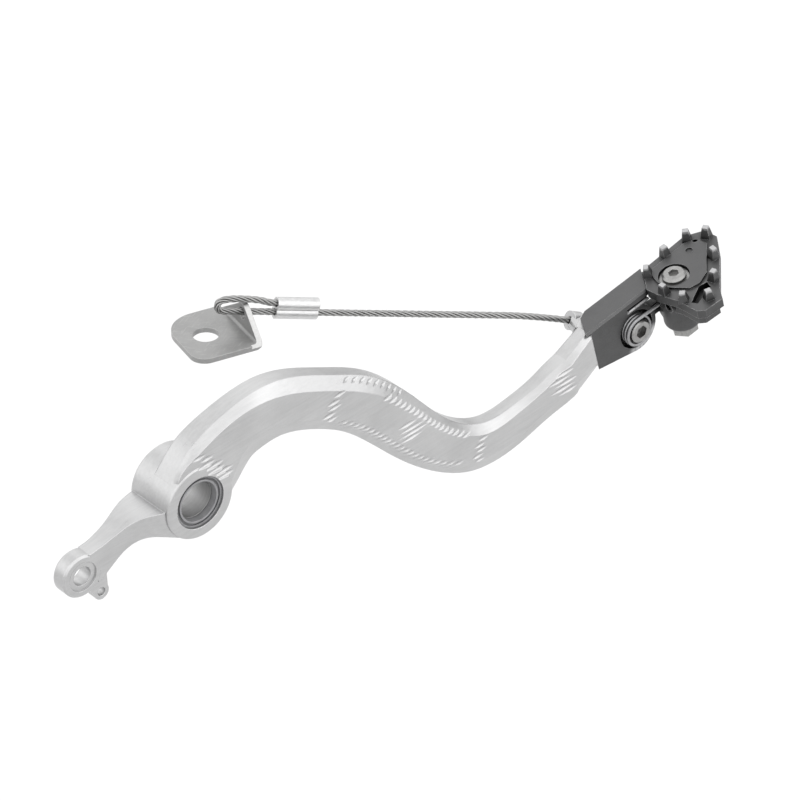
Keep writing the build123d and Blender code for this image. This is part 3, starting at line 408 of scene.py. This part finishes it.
def frames(points):
    """Directions along the path and across it, carried without twist."""
    dirs = []
    for i in range(len(points)):
        a, b = points[max(0, i - 1)], points[min(len(points) - 1, i + 1)]
        dirs.append((b - a).normalized())
    side = dirs[0].cross(Vector((0, 0, 1))).normalized()
    rows = []
    for i, d in enumerate(dirs):
        if i:
            side = dirs[i - 1].rotation_difference(d) @ side
            side = (side - d * side.dot(d)).normalized()
        rows.append((d, side, d.cross(side)))
    return rows


rows = frames(path)
run_len = [0.0]
for i in range(1, len(path)):
    run_len.append(run_len[-1] + (path[i] - path[i - 1]).length)

verts, faces = [], []
for k in range(7):
    base = len(verts)
    for (d, s, u), p, l in zip(rows, path, run_len):
        a = 2 * math.pi * (l / LAY + k / 6)
        mid = p if k == 6 else p + (s * math.cos(a) + u * math.sin(a)) * (2 * STRAND_R)
        for j in range(SIDES):
            b = 2 * math.pi * j / SIDES + a
            verts.append(mid + (s * math.cos(b) + u * math.sin(b)) * STRAND_R)
    n = len(path)
    for i in range(n - 1):
        for j in range(SIDES):
            q = (j + 1) % SIDES
            faces.append((base + i * SIDES + j, base + (i + 1) * SIDES + j, base + (i + 1) * SIDES + q, base + i * SIDES + q))
    faces.append(tuple(base + j for j in range(SIDES)))
    faces.append(tuple(base + (n - 1) * SIDES + j for j in reversed(range(SIDES))))
rope_mesh = bpy.data.meshes.new("wire_rope")
rope_mesh.from_pydata([tuple(v) for v in verts], [], faces)
rope_mesh.validate()
rope_mesh.update()
for poly in rope_mesh.polygons:
    poly.use_smooth = len(poly.vertices) == 4
rope_mesh.materials.append(made["cable_steel"])
rope = bpy.data.objects.new("wire_rope", rope_mesh)
scene.collection.objects.link(rope)
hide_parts("safety_cable")
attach(rope, "pedal")


# ---------------------------------------------------------------- floor, light, background
floor_mesh = bpy.data.meshes.new("floor")
floor_mesh.from_pydata([(-12, -12, -0.30), (12, -12, -0.30), (12, 12, -0.30), (-12, 12, -0.30)], [], [(0, 1, 2, 3)])
floor_mesh.update()
floor = bpy.data.objects.new("floor", floor_mesh)
scene.collection.objects.link(floor)
mat, t, b = start("floor_paper")
paper = noise(t, place(t), 30, 3, 0.5)
wire(t, b, color=grey(t, remap(t, paper, 0.3, 0.7, 0.685, 0.70)), rough=0.9, metal=0.0)
b.inputs["Specular IOR Level"].default_value = 0.0
floor_mesh.materials.append(mat)

world = bpy.data.worlds.new("studio")
world.use_nodes = True
scene.world = world
wt = world.node_tree
wt.nodes.clear()
wout = wt.nodes.new("ShaderNodeOutputWorld")
wbg = wt.nodes.new("ShaderNodeBackground")
wt.links.new(wbg.outputs["Background"], wout.inputs["Surface"])
way = put(wt, "ShaderNodeTexCoord")
axes = put(wt, "ShaderNodeSeparateXYZ", {"Vector": way.outputs["Generated"]})
up = axes.outputs["Z"]
sky = remap(wt, up, 0.0, 0.6, 1.20, 1.30, True)
behind = put(wt, "ShaderNodeVectorMath", {0: way.outputs["Generated"], 1: (0.648, 0.7615, 0.0)}, operation="DOT_PRODUCT").outputs["Value"]
low = calc(wt, "MULTIPLY", remap(wt, behind, 0.15, 0.60, 0, 1, True), remap(wt, up, 0.0, 0.20, 1, 0, True))
front = calc(wt, "MULTIPLY", remap(wt, axes.outputs["Y"], -0.60, -0.15, 1, 0, True), remap(wt, up, 0.05, 0.30, 0, 1, True))
left = calc(wt, "MULTIPLY", remap(wt, axes.outputs["X"], -0.70, -0.20, 1, 0, True), remap(wt, up, 0.02, 0.25, 0, 1, True))
sky = calc(wt, "MULTIPLY", sky, remap(wt, calc(wt, "MAXIMUM", front, left), 0, 1, 1.0, 1.36))
wt.links.new(calc(wt, "MULTIPLY", sky, remap(wt, low, 0, 1, 1.0, 0.30)), wbg.inputs["Strength"])
wbg.inputs["Color"].default_value = (1, 1, 1, 1)


def softbox(name, at, to, size_x, size_y, power):
    data = bpy.data.lights.new(name, "AREA")
    data.shape = "RECTANGLE"
    data.size, data.size_y = size_x, size_y
    data.energy = power
    obj = bpy.data.objects.new(name, data)
    scene.collection.objects.link(obj)
    obj.location = at
    obj.rotation_mode = "QUATERNION"
    obj.rotation_quaternion = (Vector(to) - Vector(at)).to_track_quat("-Z", "Y")
    return obj


softbox("key", (1.3, -1.5, 1.25), (0.1, 0, 0), 1.3, 0.7, 1.4)
softbox("back", (0.9, 1.3, 1.5), (0.1, 0, 0), 1.2, 0.8, 0.8)
softbox("strip", (0.93, -1.23, 0.2), (0.1, 0, 0), 1.6, 0.45, 1.8)

scene.view_settings.view_transform = "Standard"
scene.view_settings.look = "None"
scene.view_settings.exposure = 0.0
scene.view_settings.gamma = 1.0
